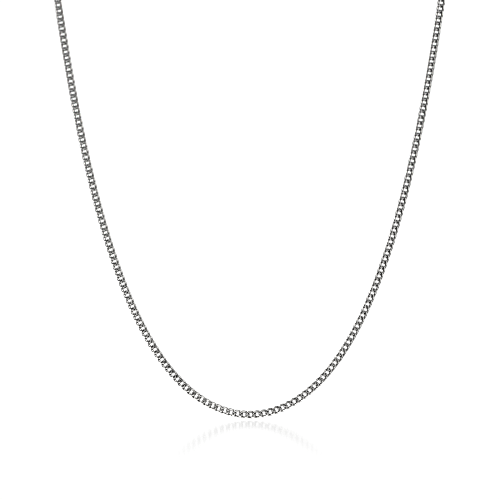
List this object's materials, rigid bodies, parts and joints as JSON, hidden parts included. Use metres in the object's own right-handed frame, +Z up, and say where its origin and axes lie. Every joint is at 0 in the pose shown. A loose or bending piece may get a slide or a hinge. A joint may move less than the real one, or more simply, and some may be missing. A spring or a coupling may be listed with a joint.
{
  "type": "curb chain necklace",
  "caption": "Closed curb chain necklace of twisted oval silver links, hanging as when worn, with a plain barrel clasp at the nape.",
  "frame": {"origin": "the nape, at the top of the loop, on the middle line of the chain where its clasp sits", "axes": "+Z up, +Y from the front of the wearer to the back, +X from left to right as seen from the front; the front of the loop hangs towards -Y and -Z"},
  "size_m": [0.119, 0.0991, 0.1674],
  "materials": {
    "polished_silver_links": "polished sterling silver wire, darker in the joints between links",
    "polished_silver_clasp": "polished sterling silver, turned"
  },
  "bodies": {
    "root": {"chain_left": "polished_silver_links", "chain_right": "polished_silver_links", "clasp": "polished_silver_clasp"}
  },
  "joints": []
}
